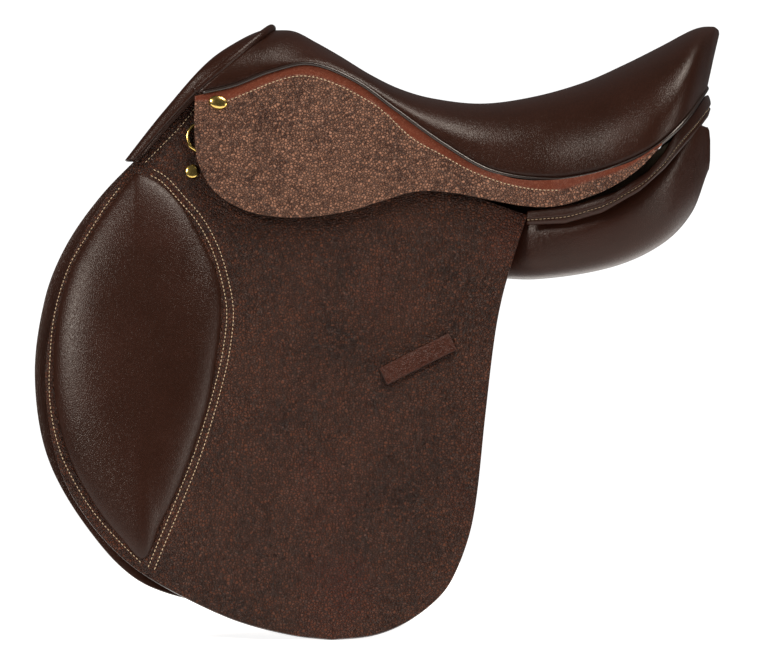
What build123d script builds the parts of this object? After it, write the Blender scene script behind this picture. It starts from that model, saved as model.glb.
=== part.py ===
"""An English jumping saddle, in millimetres.

X runs from the pommel (-X) to the cantle (+X), -Y is the near (left) side and Z is up.
The origin lies on the centre plane, under the deepest point of the seat, at the height of the
panels' underside, where the saddle rests on a back or a rack.

Outlines are side-view points (x, z) drawn for a 17 inch seat. spot() scales them to the driving
dimensions. The skirts, flaps, girth straps and sweat flaps lie in planes that lean outwards;
a depth n is measured from the skirt's outer face along that plane's outward normal, so the
layers below the skirt have negative depths.
"""

from build123d import *
import os
from math import cos, hypot, radians, sin, tan

# Overall sizes
seat_length = 432.0  # saddle nail to the middle of the cantle, a 17 inch seat
seat_height = 209.0  # top of the pommel above the panels' underside
flap_drop = 298.0  # lowest point of the flap below the panels' underside
lean = 16.0  # degrees that the flaps hang out from vertical
top_half_width = 72.0  # centre plane to the skirt's outer face, at nail height
cantle_half_width = 118.0  # widest half width of the seat, near the cantle

# Leather layers
skirt_thickness = 3.0
skirt_gap = 6.5  # room under the skirt for the stirrup leather
flap_thickness = 3.5
strap_thickness = 3.5
sweat_flap_thickness = 2.8
layer_gap = 0.5  # between neighbouring layers of leather
fold_gap = 0.4  # between the two parts of a sheet, at its fold

# Seat
cover_thickness = 2.2
foam_gap = 0.4
foam_side = 11.0  # room for the foam at the side of the pommel arch
foam_wall = 5.5  # thickness of the foam at the side of the seat

# Panels
gullet_half_width = 30.0
panel_leather = 2.0
panel_depth = 1.0  # multiplies how far the panels hang below the tree
flocking_gap = 0.6

# Tree and metal
rail_width = 26.0
rail_thickness = 14.0
rail_start = -84.0  # front end of the rails, where the side bars carry on
tree_thickness = 10.0
arch_thickness = 16.0  # across the head arch, seen from the front
arch_depth = 17.0
plate_thickness = 2.5
metal_gap = 0.4
spring_width = 14.0
spring_thickness = 2.0
spring_start = -58.0
rivet_radius = 2.5
bar_length = 62.0  # stirrup bar, along the saddle
bar_height = 10.0
bar_thickness = 5.4
bar_plate = 3.0
bar_clearance = 1.0  # below the skirt
leather_room = 8.5  # between the stirrup bar and its plate
catch_length = 24.0
tongue = 1.8
slot_gap = 0.2
pin_radius = 1.5
pin_clearance = 0.05
dee_height = 28.0
dee_reach = 13.5
dee_wire = 3.2
dee_x = -233.0  # the dee's straight bar, under the skirt's front edge
clip_width = 8.0
clip_length = 16.0
nail_long = 15.0
nail_short = 11.0
nail_dome = 3.0
point_nail_radius = 6.0
shank_radius = 1.4

# Girth straps
strap_width = 25.0
strap_centres = (-130.0, -98.0, -66.0)
strap_top_z = 78.0
strap_length = 302.0
hole_radius = 2.5
hole_pitch = 25.0
hole_pairs = 3
first_hole_from_tip = 40.0
web_thickness = 2.0
web_width = 34.0
web_depth = -17.5  # of the girth webs' outer face
web_crossing = {"girth_web_front": 127.0, "girth_web_rear": 119.5}

# Pads and loops
knee_pad_height = 16.0
keeper_length = 64.0
keeper_width = 16.0
keeper_thickness = 2.5
keeper_angle = 27.0
facing_leather = 3.0
gullet_leather = 2.0
welt_radius = 1.3
welt_offset = 2.8

LEAN_COS = cos(radians(lean))
LEAN_SIN = sin(radians(lean))
LEAN_TAN = tan(radians(lean))
DRAWN_SEAT, DRAWN_HEIGHT, DRAWN_DROP = 432.0, 209.0, 298.0
DRAWN_CANTLE = 118.0


def spot(x, z):
    """A drawn side-view point, scaled to the driving dimensions."""
    tall = seat_height / DRAWN_HEIGHT if z > 0 else flap_drop / DRAWN_DROP
    return x * seat_length / DRAWN_SEAT, z * tall


def spots(points):
    return [spot(x, z) for x, z in points]


nail_x, nail_z = spot(-220.5, 144.5)
OUTWARD = Vector(0, -LEAN_COS, LEAN_SIN)

# Depths of the layers below the skirt's outer face
flap_face = -(skirt_thickness + skirt_gap)
flap_back = flap_face - flap_thickness
outer_strap_face = flap_back - layer_gap
inner_strap_face = outer_strap_face - strap_thickness - layer_gap
sweat_face = inner_strap_face - strap_thickness - layer_gap
sweat_back = sweat_face - sweat_flap_thickness


def leaf_y(z, depth=0.0):
    """Distance from the centre plane of the leaning plane at that depth, at height z."""
    return top_half_width + (nail_z - z) * LEAN_TAN + depth / LEAN_COS


def on_leaf(x, z, depth=0.0):
    """The point of the near side's leaning plane that is seen at (x, z) from the side."""
    return Vector(x, -leaf_y(z, depth), z)


def leaf_plane(depth):
    return Plane(origin=on_leaf(0, 0, depth), x_dir=(1, 0, 0), z_dir=OUTWARD)


def edge(points):
    return Line(*points) if len(points) == 2 else Spline(*points)


def leaf_face(pieces, depth):
    """A face in the leaning plane, from runs of side-view points that meet end to end."""
    edges = [edge([(x, z / LEAN_COS) for x, z in run]) for run in pieces]
    return leaf_plane(depth) * make_face(edges)


def leaf_sheet(pieces, depth, thickness):
    """A flat sheet of leather whose outer face is at that depth."""
    return extrude(leaf_face(pieces, depth), amount=thickness, dir=-OUTWARD)


def leaf_rod(x, z, radius, low, high):
    """A round rod across the layers, from depth low to depth high."""
    plane = Plane(origin=on_leaf(x, z) + OUTWARD * low, x_dir=(1, 0, 0), z_dir=OUTWARD)
    return plane * extrude(Circle(radius), amount=high - low)


def side_prism(pieces, half=300.0):
    """Runs of side-view points, closed and carried right across the saddle."""
    face = Plane.XZ * make_face([edge(run) for run in pieces])
    return extrude(face, amount=half, both=True)


def plan_prism(pieces, low=-50.0, high=300.0):
    """Runs of plan points (x, y), closed and carried from low to high."""
    face = make_face([edge(run) for run in pieces])
    return Pos(0, 0, low) * extrude(face, amount=high - low)


def front_prism(pieces, low, high):
    """Runs of front-view points (y, z), closed and carried along X from low to high."""
    face = Plane.YZ * make_face([edge(run) for run in pieces])
    return Pos(low, 0, 0) * extrude(face, amount=high - low)


def both_ways(half_points):
    """Front-view or plan points of one side, continued over the centre to the other side."""
    return half_points + [(-a, b) for a, b in reversed(half_points[:-1])]


def shifted(points, distance):
    """A run of plan points moved sideways, to the left of its direction, by a distance."""
    moved = []
    for i, (x, y) in enumerate(points):
        (x0, y0), (x1, y1) = points[max(i - 1, 0)], points[min(i + 1, len(points) - 1)]
        length = hypot(x1 - x0, y1 - y0)
        moved.append((x - (y1 - y0) / length * distance, y + (x1 - x0) / length * distance))
    return moved


def off_side(part):
    return mirror(part, about=Plane.XZ)


# The folds, as side-view ends. A sheet's lifting part turns about the line at mid thickness.
flap_fold = spots([(-300, 86), (13, -18.4)])
skirt_fold = spots([(-239, 128), (-42, 69)])


def fold_line(fold, face, thickness):
    """Front and rear end of a fold's axis on the near side."""
    return [on_leaf(x, z, face - thickness / 2) for x, z in fold]


def fold_half(fold, distance, below):
    """Everything on one side of a fold, seen from the side, as a prism across the saddle.
    distance is how far from the fold it starts, measured in the sheet's plane."""
    (x0, z0), (x1, z1) = fold
    reach = 600.0
    rise = (z1 - z0) / (x1 - x0)
    shift = distance * hypot(1, rise) * (-1 if below else 1)
    far = -reach if below else reach
    ends = [(x, z0 + (x - x0) * rise + shift) for x in (x0 - reach, x1 + reach)]
    lowest = [(ends[1][0], ends[1][1] + far), (ends[0][0], ends[0][1] + far)]
    return side_prism([[ends[0], ends[1]], [ends[1], lowest[0]], lowest, [lowest[1], ends[0]]])


def lifting_part(sheet, fold, face, thickness):
    """The part of a sheet below its fold, with a full round along the fold."""
    front, rear = fold_line(fold, face, thickness)
    along = rear - front
    plane = Plane(origin=front, z_dir=along)
    bead = plane * extrude(Circle(thickness / 2), amount=along.length)
    return (sheet & fold_half(fold, 0.0, True)) + (bead & grown_leaf(sheet))


def grown_leaf(sheet):
    """A box around a sheet, which trims the fold's round to the sheet's length."""
    box = sheet.bounding_box()
    size = box.size
    return Pos(*box.center()) * Box(size.X - 2 * fold_gap, size.Y + 60, size.Z + 60)


def sewn_part(sheet, fold, thickness):
    """The part of a sheet above its fold, clear of the lifting part's round."""
    return sheet & fold_half(fold, thickness / 2 + fold_gap, False)



# Depths of the stirrup bar, of its plate and of the tree behind it
bar_face = -(skirt_thickness + bar_clearance)
plate_face = bar_face - bar_thickness - leather_room
tree_face = plate_face - bar_plate - metal_gap
tree_back = tree_face - tree_thickness
dee_depth = flap_face + dee_wire


def box_between(low, high):
    """A box from one corner to the opposite one."""
    size = [b - a for a, b in zip(low, high)]
    return Pos(*low) * Box(*size, align=(Align.MIN, Align.MIN, Align.MIN))


# ---------------------------------------------------------------- seat
# Each rib of the seat joins a seam point to a point of the ridge: seam x, z and half width,
# then ridge x, z. A half width of None lies in the skirt's plane. The last two numbers are the
# depths of the foam at the rib's ridge and of the rib's rounded side.
RIBS = [
    (-237, 150, None, -174, 205, 9),
    (-196, 161, None, -150, 202, 10),
    (-144, 176, None, -118, 184, 10),
    (-97, 157, None, -85, 166, 6),
    (-42, 114, None, -42, 150, 25),
    (0, 90, 90, 0, 144, 27),
    (59, 78, 99, 55, 151, 24),
    (101, 85, 113, 108, 170, 24),
    (144, 105, 117, 155, 193, 24),
    (174, 134, 93, 184, 206, 16),
    (187, 152, 50, 198, 207, 12),
    (190, 156, 24, 201, 205, 10),
]


def rib(entry):
    """Seam x, z and half width and ridge x, z of one rib, at the driving dimensions."""
    sx, sz, half, cx, cz = entry[:5]
    sx, sz = spot(sx, sz)
    cx, cz = spot(cx, cz)
    if half is None:
        half = leaf_y(sz)
    else:
        half *= cantle_half_width / DRAWN_CANTLE
    return sx, sz, half, cx, cz


def rib_plane(entry):
    """The plane of a rib, its height and its half width. The normal points to the rear."""
    sx, sz, half, cx, cz = rib(entry)
    height = hypot(cx - sx, cz - sz)
    up = Vector((cx - sx) / height, 0, (cz - sz) / height)
    plane = Plane(origin=(sx, 0, sz), x_dir=(0, 1, 0), z_dir=Vector(0, 1, 0).cross(up))
    return plane, height, half


def rib_section(entry, side, top, shape=(0.93, 0.42, 0.62, 0.84), below=0.0):
    """The rib's closed section in its own plane, drawn in by side and lowered by top.
    shape places the two points between the seam and the ridge, and below deepens it under the seam."""
    plane, height, half = rib_plane(entry)
    wide, tall = half - side, height - top
    w1, h1, w2, h2 = shape
    crown = [(-wide, 0), (-w1 * wide, h1 * tall), (-w2 * wide, h2 * tall), (0, tall)]
    low = [(wide, 0), (wide, -below), (-wide, -below), (-wide, 0)] if below else [(wide, 0), (-wide, 0)]
    return plane * make_face([Spline(*both_ways(crown)), *[Line(a, b) for a, b in zip(low, low[1:])]])


def filled_ribs():
    """The ribs with one more between each two, on a smooth curve through their neighbours."""
    rows = [[x, z, leaf_y(z) if half is None else half, *rest] for x, z, half, *rest in RIBS]
    before = [2 * a - b for a, b in zip(rows[0], rows[1])]
    after = [2 * b - a for a, b in zip(rows[-2], rows[-1])]
    line = [before, *rows, after]
    filled = []
    for a, b, c, d in zip(line, line[1:], line[2:], line[3:]):
        filled += [b, [(9 * (q + r) - p - s) / 16 for p, q, r, s in zip(a, b, c, d)]]
    return [*filled, rows[-1]]


def seat_body(side, top, below=0.0, shape=(0.93, 0.42, 0.62, 0.84), by_foam=False):
    """The seat's bulk, drawn in by side and lowered by top, and by each rib's foam too if by_foam."""
    return loft([rib_section(entry, side, top + (entry[5] if by_foam else 0.0), shape, below)
                 for entry in filled_ribs()], ruled=True)


def seat_cover():
    """The seat leather, open below and closed at the cantle."""
    back = extrude(rib_section(RIBS[-1], 0.0, 0.0), amount=cover_thickness)
    return seat_body(0.0, 0.0) - seat_body(cover_thickness, cover_thickness, 4.0) + back


def seat_foam():
    skin = cover_thickness + foam_gap
    whole = seat_body(skin, skin)
    room = (0.98, 0.6, 0.8, 0.92)
    return whole - seat_body(skin + foam_wall, skin, 4.0, room, by_foam=True)


# ---------------------------------------------------------------- tree
POINT = [(-252, 128), (-252, 62), (-244, 48), (-222, 48), (-214, 60), (-210, 86), (-60, 94)]
SIDE_TOP = [(-60, 94), (-60, 112), (-112, 116), (-150, 125), (-196, 146), (-236, 151), (-252, 128)]
RAIL_LINE = [(-120, 54), (-60, 56), (-30, 58), (0, 68), (60, 82), (110, 84), (140, 78), (161, 64),
             (174, 44), (180, 22), (182, 0)]
RAIL_HEIGHTS = [(-125, 108), (-60, 103), (-20, 95), (30, 95), (80, 107), (120, 128), (155, 152),
                (192, 188)]


def arch_section(drawn_in):
    skin = cover_thickness + 2 * foam_gap
    return rib_section(RIBS[0], skin + foam_side + drawn_in, skin + RIBS[0][5] + drawn_in)


def head_arch(outer, inner, near, far):
    """A slice of the head arch between two sections, from near to far behind the roll."""
    ring = extrude(arch_section(outer), amount=far) - extrude(arch_section(inner), amount=far)
    return ring - extrude(arch_section(outer - 5), amount=near) if near else ring


def both_plan(half_points):
    """Plan points of one side, continued round the cantle to the other side."""
    return half_points + [(x, -y) for x, y in reversed(half_points[:-1])]


def plan_ring(outer, inner):
    """The band between two plan lines that run round the cantle."""
    inner = inner[::-1]
    return plan_prism([outer, [outer[-1], inner[0]], inner, [inner[-1], outer[0]]])


def rail_plan(grow):
    """The plan of both rails and the cantle."""
    wide = cantle_half_width / DRAWN_CANTLE
    line = both_plan([(spot(x, 0)[0], y * wide) for x, y in RAIL_LINE])
    ring = plan_ring(shifted(line, grow), shifted(line, -rail_width - grow))
    return ring - box_between((-400, -300, -100), (rail_start - grow, 300, 400))


def rail_band(up, down):
    """Everything between the rails' middle line raised by up and lowered by down."""
    line = spots(RAIL_HEIGHTS)
    upper = [(x, z + up) for x, z in line]
    lower = [(x, z - down) for x, z in reversed(line)]
    return side_prism([upper, [upper[-1], lower[0]], lower, [lower[-1], upper[0]]])


def side_bar(grow):
    """The near side's tree point and the stiff part behind it, in the leaning plane."""
    corners = spots(POINT[:-1] + SIDE_TOP[:-1])
    runs = [[a, b] for a, b in zip(corners, corners[1:] + corners[:1])]
    face = leaf_face(runs, tree_face + grow)
    return extrude(face, amount=tree_thickness + 2 * grow, dir=-OUTWARD)


def tree_body(grow=0.0):
    """The laminated tree, grown all round by grow where leather or foam has to clear it."""
    bar = side_bar(grow)
    arch = head_arch(-grow, arch_thickness + grow, plate_thickness + 2 * metal_gap - grow,
                     arch_depth + grow)
    half = rail_thickness / 2 + 1.4 * grow
    return arch + (rail_plan(grow) & rail_band(half, half)) + bar + off_side(bar)


def make_tree():
    tree = tree_body()
    head_plate = head_arch(1.0, arch_thickness - 1.0, 0.0, plate_thickness + metal_gap)
    gullet = head_arch(arch_thickness + metal_gap, arch_thickness + metal_gap + plate_thickness,
                       plate_thickness + 2 * metal_gap, arch_depth)
    plane, height, half = rib_plane(RIBS[0])
    middle = height - cover_thickness - 2 * foam_gap - RIBS[0][5] - arch_thickness / 2
    spread = 0.77 * (half - cover_thickness - foam_side - arch_thickness / 2)
    places = [(0, middle), (-spread, 0.66 * middle), (spread, 0.66 * middle)]
    rivets = [plane * Pos(y, z, metal_gap) * extrude(Circle(rivet_radius), amount=9.0)
              for y, z in places]
    holes = [plane * Pos(y, z) * extrude(Circle(rivet_radius + pin_clearance), amount=9.5)
             for y, z in places]
    spring_top = rail_thickness / 2 + metal_gap
    spring = rail_band(-spring_top, spring_top + spring_thickness)
    wide = cantle_half_width / DRAWN_CANTLE
    mid = [(spot(x, 0)[0], -y * wide) for x, y in [(-105, 50), (-60, 51), (0, 61), (60, 71), (105, 76)]]
    outer = [(x, y - spring_width / 2) for x, y in mid]
    inner = [(x, y + spring_width / 2) for x, y in reversed(mid)]
    strip = plan_prism([outer, [outer[-1], inner[0]], inner, [inner[-1], outer[0]]])
    side = box_between((spring_start, -300, -100), (400, 0, 400))
    crown = box_between((-400, -300, spot(0, 157)[1]), (400, 300, 400))
    return {
        "saddle_tree": tree - holes,
        "head_plate": (head_plate & crown) - holes,
        "gullet_plate": gullet & crown,
        "tree_rivets": Compound(rivets),
        "tree_spring_left": spring & strip & side,
    }


WEB_LINE = [(-168, 160), (-97, 146), (-60, 128), (-42, 118), (0, 105), (55, 106), (108, 120), (142, 136)]


def make_webs():
    """The seat webs from the head to the cantle, and the girth webs across the rails."""
    line = spots(WEB_LINE)
    upper = [(x, z + web_thickness / 2) for x, z in line]
    lower = [(x, z - web_thickness / 2) for x, z in reversed(line)]
    sheet = side_prism([upper, [upper[-1], lower[0]], lower, [lower[-1], upper[0]]])
    strips = [box_between((-400, y - web_width / 2, 0), (400, y + web_width / 2, 400))
              for y in (-web_width * 0.6, web_width * 0.6)]
    webs = {"seat_webs": sheet & Compound(strips)}
    spans = {"girth_web_front": strap_centres[:1], "girth_web_rear": strap_centres[1:]}
    for name, centres in spans.items():
        top = web_crossing[name]
        runs = []
        for extra in (0.0, -web_thickness):
            d = web_depth + extra
            low = strap_top_z + strap_width / 2 + 1.5
            runs.append([(-leaf_y(low, d), low), (-leaf_y(top + extra, d), top + extra)])
        outer = both_ways(runs[0] + [(0, runs[0][1][1])])
        inner = both_ways(runs[1] + [(0, runs[1][1][1])])
        loop = outer + inner[::-1]
        pieces = [[a, b] for a, b in zip(loop, loop[1:] + loop[:1])]
        webs[name] = front_prism(pieces, min(centres) - strap_width / 2, max(centres) + strap_width / 2)
    return webs


# ---------------------------------------------------------------- stirrup bars and dees
def make_bars():
    front, z = spot(-214, 97)
    rear = front + bar_length
    high, low = z + bar_height / 2, z - bar_height / 2
    plate = leaf_sheet(ring_of([(front, low - 6), (rear - 4, low - 6), (rear - 4, high + 9),
                                (front, high + 9)]), plate_face, bar_plate)
    neck = leaf_sheet(ring_of([(front, low), (front + 9, low), (front + 9, high), (front, high)]),
                      bar_face, bar_thickness + leather_room)
    pin_x = rear - bar_height / 2
    rod = leaf_sheet(ring_of([(front, low), (pin_x, low), (pin_x, high), (front, high)]),
                     bar_face, bar_thickness)
    rod += leaf_rod(pin_x, z, bar_height / 2 * 0.98, bar_face - bar_thickness, bar_face)
    middle = bar_face - bar_thickness / 2
    slot = leaf_sheet(ring_of([(pin_x - 9, low - 1), (rear + 1, low - 1), (rear + 1, high + 1),
                               (pin_x - 9, high + 1)]), middle + tongue / 2 + slot_gap, tongue + 2 * slot_gap)
    pin_hole = leaf_rod(pin_x, z, pin_radius + pin_clearance, plate_face + 1, 1)
    places = [(front + 16, high + 3), (rear - 14, high + 3)]
    rivets = [leaf_rod(x, pz, rivet_radius, tree_face - 6, plate_face) +
              leaf_rod(x, pz, rivet_radius * 1.7, plate_face + pin_clearance, plate_face + 1.5)
              for x, pz in places]
    holes = [leaf_rod(x, pz, rivet_radius + pin_clearance, tree_face - 6.5, 0) for x, pz in places]
    bar = plate + neck + rod - slot - pin_hole - holes
    catch = leaf_sheet(ring_of([(pin_x, z - 3), (rear + 4, z - 3), (rear + 4, z + 3), (pin_x, z + 3)]),
                       middle + tongue / 2, tongue)
    catch += leaf_rod(pin_x, z, 3.6, middle - tongue / 2, middle + tongue / 2)
    catch += leaf_sheet(ring_of([(rear + 1.5, z - 4), (pin_x + catch_length, z - 4),
                                 (pin_x + catch_length, z + 4), (rear + 1.5, z + 4)]),
                        bar_face - 0.4, bar_thickness - 0.8)
    catch -= leaf_rod(pin_x, z, pin_radius + pin_clearance, plate_face, 0)
    pin = leaf_rod(pin_x, z, pin_radius, bar_face - bar_thickness - 0.3, bar_face + 0.3)
    both_rivets = rivets + [off_side(r) for r in rivets]
    return {
        "stirrup_bar_left": bar,
        "bar_catch_left": catch,
        "bar_rivets": Compound(both_rivets),
        "catch_pins": Compound([pin, off_side(pin)]),
    }, holes


def ring_of(corners):
    """The straight runs round a polygon."""
    return [[a, b] for a, b in zip(corners, corners[1:] + corners[:1])]


def make_dees():
    """A brass dee whose straight bar lies under the skirt's front edge, and its clip."""
    x, z = dee_x, spot(0, 113.5)[1]
    radius = dee_wire / 2
    plane = Plane(origin=on_leaf(x, z, dee_depth), x_dir=(1, 0, 0), z_dir=OUTWARD)
    half = dee_height / 2 - radius
    reach = dee_reach - radius
    turns = [radians(90 + 22.5 * i) for i in range(9)]
    path = plane * Spline(*[(reach * cos(a), half * sin(a)) for a in turns], tangents=[(-1, 0), (1, 0)])
    end = Plane(origin=path @ 0, z_dir=path % 0)
    dee = sweep(end * Circle(radius), path=path)
    bar = plane * Rot(-90, 0, 0) * Cylinder(radius, 2 * half)
    dee = dee + bar + [Pos(*(path @ t)) * Sphere(radius) for t in (0, 1)]
    ring = plane * Rot(-90, 0, 0) * Cylinder(radius + 1.1, clip_width)
    ring -= plane * Rot(-90, 0, 0) * Cylinder(radius + 0.1, clip_width + 2)
    tail = plane * Pos(clip_length / 2 + radius, 0, radius / 2 - dee_wire + 0.7) * Box(
        clip_length, clip_width, 1.2)
    tail -= plane * Rot(-90, 0, 0) * Cylinder(radius + 0.1, clip_width + 2)
    return {"dee_left": dee, "dee_clip_left": ring + tail}


# ---------------------------------------------------------------- skirts
SKIRT_FRONT = [(-239, 146.5), (-239.5, 125), (-236, 95), (-214, 66), (-180, 50), (-146, 47.5)]
SKIRT_EDGE = [(-146, 47.5), (-110, 53), (-72, 66), (-42, 69.5), (-8, 64), (34, 55), (60, 55)]
SKIRT_SEAM = [(60, 75.5), (0, 87), (-42, 111), (-97, 153.5), (-144, 172.5), (-196, 157.5), (-239, 146.5)]
TAIL_EDGE = [(6, 60.5), (34, 55), (63, 55.8), (90, 63.6), (118, 77), (146, 101)]
TAIL_SEAM = [(146, 101), (130, 91), (101, 81.5), (59, 75), (6, 85)]
TAIL_PLAN = [(6, 98), (59, 104), (101, 117.5), (128, 122), (152, 119)]


def plan_strip(points, thickness):
    """A near-side plan band whose outer line is given, carried in by thickness."""
    wide = cantle_half_width / DRAWN_CANTLE
    outer = [(spot(x, 0)[0], -y * wide) for x, y in points]
    inner = [(x, y + thickness) for x, y in reversed(outer)]
    return [outer, [outer[-1], inner[0]], inner, [inner[-1], outer[0]]]


def make_skirts():
    runs = [spots(SKIRT_FRONT), spots(SKIRT_EDGE), spots([(60, 55), (60, 75.5)]), spots(SKIRT_SEAM)]
    sheet = leaf_sheet(runs, 0.0, skirt_thickness)
    lobe_end = spot(-36, 0)[0]
    tail_start = spot(6, 0)[0]
    lifting = lifting_part(sheet, skirt_fold, 0.0, skirt_thickness)
    lifting &= box_between((-400, -300, -100), (lobe_end, 0, 400))
    flat = sewn_part(sheet, skirt_fold, skirt_thickness)
    flat -= box_between((tail_start, -300, -100), (400, 0, 400))
    tail = plan_prism(plan_strip(TAIL_PLAN, skirt_thickness))
    tail &= side_prism([spots(TAIL_EDGE), spots(TAIL_SEAM), spots([(6, 85), (6, 60.5)])])
    nail = Plane(origin=on_leaf(nail_x, nail_z), x_dir=(1, 0, 0), z_dir=OUTWARD) * Rot(0, 0, 15)
    dome = nail * loft([Ellipse(nail_long / 2, nail_short / 2).face(),
                        Pos(0, 0, nail_dome * 0.7) * Ellipse(nail_long * 0.38, nail_short * 0.36).face(),
                        Pos(0, 0, nail_dome) * Ellipse(nail_long * 0.12, nail_short * 0.12).face()])
    dome = Pos(*(OUTWARD * 0.1)) * dome
    shank = leaf_rod(nail_x, nail_z, shank_radius, -skirt_thickness, 0.3)
    hole = leaf_rod(nail_x, nail_z, shank_radius + pin_clearance, -skirt_thickness - 1, 1)
    nail_body = dome + shank
    return {
        "skirt_left": lifting,
        "skirt_seam_left": flat + tail - hole,
        "skirt_nails": Compound([nail_body, off_side(nail_body)]),
    }


# ---------------------------------------------------------------- flaps, pads and loops
FLAP_FRONT = [(-298, 84), (-320, 55), (-341, 15), (-355, -30), (-361, -75), (-358, -120), (-346, -165),
              (-325, -200), (-300, -228), (-277, -246)]
FLAP_LOW = [(-277, -246), (-240, -266), (-200, -283), (-156, -294), (-122, -298), (-90, -294),
            (-64, -284), (-40, -267), (-26, -250)]
FLAP_REAR = [(-26, -250), (-12, -216), (-5, -182), (2.5, -115), (11, -47), (18, -13), (37, 50)]
FLAP_TOP = [(37, 50), (-40, 92), (-110, 122), (-190, 142), (-239, 147), (-254, 132), (-279, 104),
            (-298, 84)]
PAD_REAR = [(-290, 78), (-279, 76), (-264, 69), (-247, 52), (-230.5, 26), (-219, -2), (-217, -28), (-220.5, -63),
            (-227.7, -105), (-240, -140), (-252, -174), (-264, -200), (-279.4, -232)]
PAD_FRONT = [(-279.4, -232), (-299, -217), (-319, -193), (-340, -158), (-353, -118), (-357, -75), (-352, -30),
             (-340, 8), (-323, 40), (-304, 66), (-290, 78)]


def make_flaps():
    runs = [spots(FLAP_FRONT), spots(FLAP_LOW), spots(FLAP_REAR)]
    top = spots(FLAP_TOP)
    runs += [[a, b] for a, b in zip(top, top[1:])]
    sheet = leaf_sheet(runs, flap_face, flap_thickness)
    front, z = spot(-214, 97)
    window = leaf_sheet(ring_of([
        (front - 3, z - bar_height / 2 - 9), (front + bar_length + catch_length + 3, z - bar_height / 2 - 9),
        (front + bar_length + catch_length + 3, z + bar_height / 2 + 12),
        (front - 3, z + bar_height / 2 + 12)]), 0.0, 30.0)
    stud_x, stud_z = spot(-241, 87.5)
    hole = leaf_rod(stud_x, stud_z, shank_radius + pin_clearance, flap_back - 1, flap_face + 1)
    sewn = sewn_part(sheet, flap_fold, flap_thickness) - window - hole
    shank = leaf_rod(stud_x, stud_z, shank_radius, flap_back, flap_face + 0.3)
    face = Plane(origin=on_leaf(stud_x, stud_z, flap_face + 0.1), x_dir=(1, 0, 0), z_dir=OUTWARD)
    r = point_nail_radius
    cap = face * extrude(Circle(r), amount=1.2) + face * Pos(0, 0, 1.0) * extrude(Circle(r * 0.7), amount=1.0)
    stud = cap + shank
    return {
        "flap_top_left": sewn,
        "flap_left": lifting_part(sheet, flap_fold, flap_face, flap_thickness),
        "point_studs": Compound([stud, off_side(stud)]),
        "knee_pad_left": knee_pad(),
        "surcingle_keeper_left": keeper(),
    }


def knee_pad():
    """The padded block on the flap, rounded over by shrinking copies of its outline."""
    steps = [(0.0, 1.0), (0.35, 0.985), (0.7, 0.9), (0.9, 0.75), (1.0, 0.5)]
    cx, cz = spot(-285, -75)
    slices = []
    for part, size in steps:
        runs = [[(cx + (x - cx) * size, cz + (z - cz) * size) for x, z in spots(run)]
                for run in (PAD_REAR, PAD_FRONT)]
        slices.append(leaf_face(runs, flap_face + 0.2 + part * knee_pad_height))
    return loft(slices)


def keeper():
    x, z = spot(-53, -69.5)
    plane = Plane(origin=on_leaf(x, z, flap_face + 0.2), x_dir=(1, 0, 0), z_dir=OUTWARD)
    strap = RectangleRounded(keeper_length, keeper_width, keeper_width * 0.3)
    return plane * Rot(0, 0, keeper_angle) * extrude(strap, amount=keeper_thickness)


SWEAT_FRONT = [(-300, 86), (-330, 54), (-351, 18), (-363, -15), (-371, -81), (-366, -116), (-357, -150),
               (-340, -183), (-316, -216), (-288, -240)]
SWEAT_LOW = [(-288, -240), (-240, -256), (-180, -270), (-125, -276), (-80, -268), (-50, -244)]
SWEAT_REAR = [(-50, -244), (-32, -190), (-20, -110), (-8, -30), (16, 30)]
SWEAT_TOP = [(16, 30), (-30, 72), (-55, 82), (-196, 76), (-204, 42), (-256, 42), (-262, 70), (-300, 86)]
POCKET = [(-258, 38), (-208, 38), (-200, 72), (-204, 78), (-256, 78)]


def make_sweat_flaps():
    top = spots(SWEAT_TOP)
    runs = [spots(SWEAT_FRONT), spots(SWEAT_LOW), spots(SWEAT_REAR)]
    runs += [[a, b] for a, b in zip(top, top[1:])]
    pocket = leaf_sheet(ring_of(spots(POCKET)), sweat_face + layer_gap + 2.0, 2.0)
    return {
        "sweat_flap_left": leaf_sheet(runs, sweat_face, sweat_flap_thickness),
        "point_pocket_left": pocket,
    }


def make_straps():
    """The near side's three girth straps, the middle one a layer further in."""
    straps = {}
    faces = [outer_strap_face, inner_strap_face, outer_strap_face]
    for number, (x, face) in enumerate(zip(strap_centres, faces), start=1):
        half = strap_width / 2
        tip = strap_top_z - (strap_length - half) * LEAN_COS
        shoulder = tip + half * LEAN_COS
        corners = [(x - half, strap_top_z), (x - half, shoulder), (x - 4, tip), (x + 4, tip), (x + half, shoulder),
                   (x + half, strap_top_z)]
        strap = leaf_sheet(ring_of(corners), face, strap_thickness)
        strap += leaf_rod(x, strap_top_z, half * 0.999, face - strap_thickness, face)
        for step in range(2 * hole_pairs):
            z = tip + (first_hole_from_tip + step * hole_pitch) * LEAN_COS
            strap -= leaf_rod(x, z, hole_radius, face - strap_thickness - 1, face + 1)
        straps[f"girth_strap_{number}_left"] = strap
    return straps


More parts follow.
